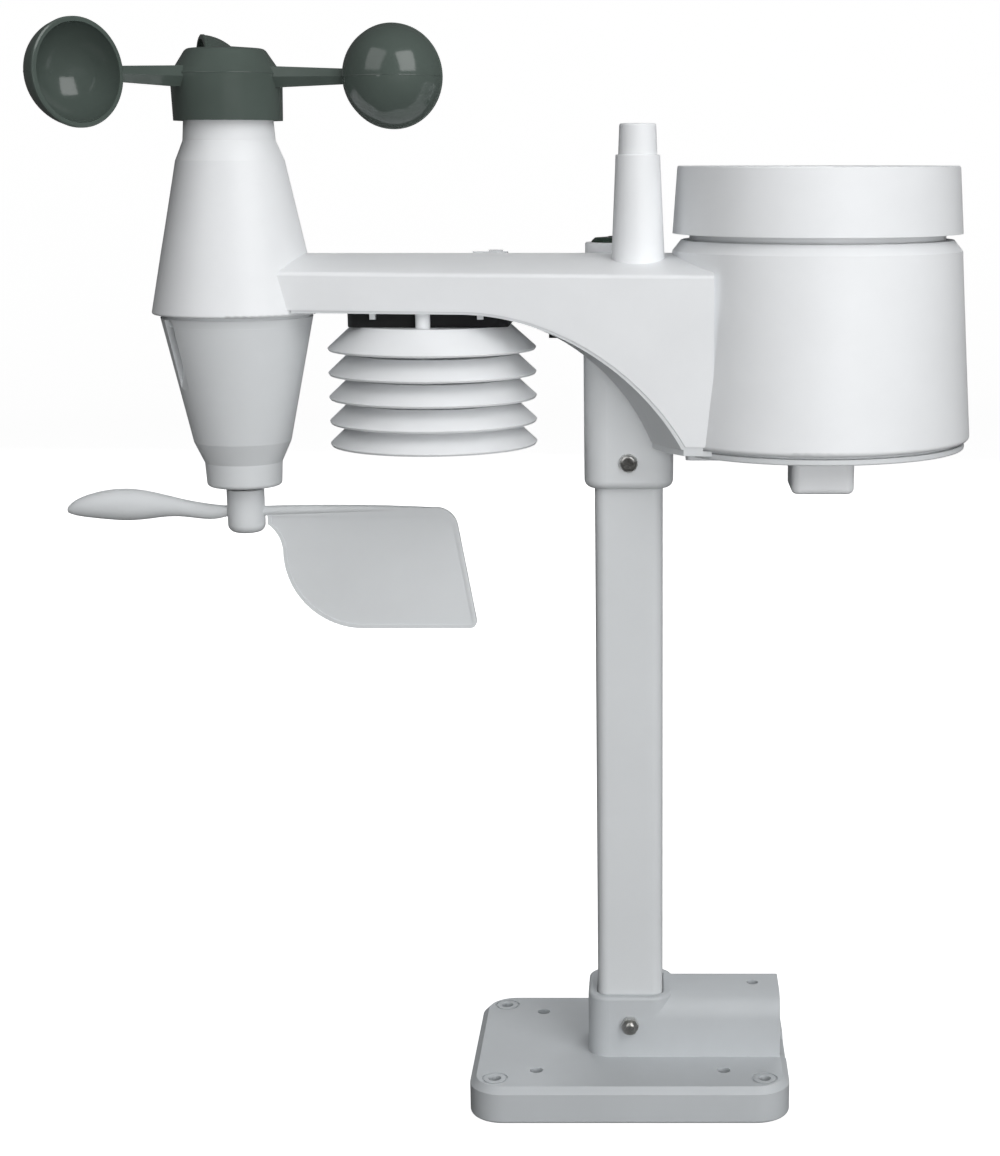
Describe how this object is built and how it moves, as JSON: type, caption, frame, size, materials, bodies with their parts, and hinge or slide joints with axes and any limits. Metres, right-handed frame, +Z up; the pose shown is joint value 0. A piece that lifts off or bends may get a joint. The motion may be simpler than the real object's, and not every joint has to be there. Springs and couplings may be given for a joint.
{
  "type": "weather station sensor array",
  "caption": "Outdoor weather sensor array: cup anemometer, wind vane, louvred radiation shield and tipping-bucket rain gauge on an arm, held by a square mast in a flat base plate.",
  "frame": {"origin": "the mast's axis at the underside of the base plate", "axes": "+Z up along the mast; +X along the arm from the anemometer towards the rain gauge; +Y to the rear"},
  "size_m": [0.328, 0.1339, 0.3923],
  "materials": {
    "white_plastic": "fine moulded texture, satin",
    "pale_plastic": "fine moulded texture, satin",
    "grey_plastic": "fine moulded texture, matt",
    "mast_plastic": "extruded, satin",
    "dark_gloss": "polished moulding",
    "black_plastic": "matt",
    "bucket_plastic": "smooth",
    "steel": "bright",
    "bronze": "sintered",
    "magnet": "plated",
    "circuit_board": "solder mask over glass laminate",
    "component": "moulded epoxy",
    "glass_capsule": "clear",
    "level_glass": "tinted liquid",
    "clear_lens": "frosted",
    "seal_rubber": "matt",
    "cell_jacket": "printed film, plain",
    "copper": "bare wire",
    "cable_jacket": "flat cable"
  },
  "bodies": {
    "station": {"antenna_cap": "white_plastic", "antenna_wire": "copper", "base_plate": "grey_plastic", "battery_cells": "cell_jacket", "battery_contacts": "steel", "board_components": "component", "bucket_cradle": "black_plastic", "clamp_nuts": "steel", "clamp_screws": "steel", "climate_sensor": "circuit_board", "direction_board": "circuit_board", "direction_sensor": "component", "drain_outlets": "white_plastic", "drain_screens": "steel", "indicator_lens": "clear_lens", "level_vial": "level_glass", "lower_housing": "pale_plastic", "main_board": "circuit_board", "mast": "mast_plastic", "rain_board": "circuit_board", "rain_reed_switch": "glass_capsule", "rotor_bearings": "bronze", "sensor_cage": "black_plastic", "shield_collar": "black_plastic", "shield_plate_1": "white_plastic", "shield_plate_2": "white_plastic", "shield_plate_3": "white_plastic", "shield_plate_4": "white_plastic", "shield_plate_5": "white_plastic", "shield_screws": "steel", "shield_spacers": "white_plastic", "speed_board": "circuit_board", "speed_reed_switch": "glass_capsule", "upper_housing": "white_plastic", "vane_bearings": "bronze", "vane_housing": "pale_plastic", "vane_housing_screws": "steel", "wiring": "cable_jacket"},
    "cup_rotor": {"rotor_hub": "dark_gloss", "wind_cup_1": "dark_gloss", "wind_cup_2": "dark_gloss", "wind_cup_3": "dark_gloss", "rotor_shaft": "steel", "rotor_grub_screw": "steel", "speed_magnet_carrier": "black_plastic", "speed_magnets": "magnet"},
    "wind_vane": {"wind_vane": "pale_plastic", "vane_shaft": "steel", "vane_grub_screw": "steel", "vane_magnet_carrier": "black_plastic", "vane_magnet": "magnet"},
    "tipping_bucket": {"tipping_bucket": "bucket_plastic", "bucket_pin": "steel", "bucket_magnet": "magnet"},
    "rain_collector": {"rain_collector": "white_plastic", "leaf_screen": "black_plastic"},
    "battery_door": {"battery_door": "pale_plastic", "battery_door_seal": "seal_rubber", "battery_door_screw": "steel"},
    "reset_button": {"reset_button": "black_plastic"}
  },
  "joints": [
    {"name": "cup_rotor_spin", "type": "hinge", "parent": "station", "child": "cup_rotor", "pos_m": [-0.14, 0, 0.3746], "axis": [0, 0, 1], "continuous": true},
    {"name": "wind_vane_swivel", "type": "hinge", "parent": "station", "child": "wind_vane", "pos_m": [-0.14, 0, 0.222], "axis": [0, 0, 1], "continuous": true},
    {"name": "bucket_tip", "type": "hinge", "parent": "station", "child": "tipping_bucket", "pos_m": [0.067, 0, 0.266], "axis": [-1, 0, 0], "range_deg": [0, 30]},
    {"name": "collector_lift", "type": "slide", "parent": "station", "child": "rain_collector", "axis": [0, 0, 1], "range_m": [0, 0.06]},
    {"name": "battery_door_drop", "type": "slide", "parent": "station", "child": "battery_door", "axis": [0, 0, -1], "range_m": [0, 0.03]},
    {"name": "reset_button_press", "type": "slide", "parent": "station", "child": "reset_button", "axis": [0, 0, 1], "range_m": [0, 0.0008], "stiffness_N_per_m": 60, "springref_m": -0.0008}
  ]
}
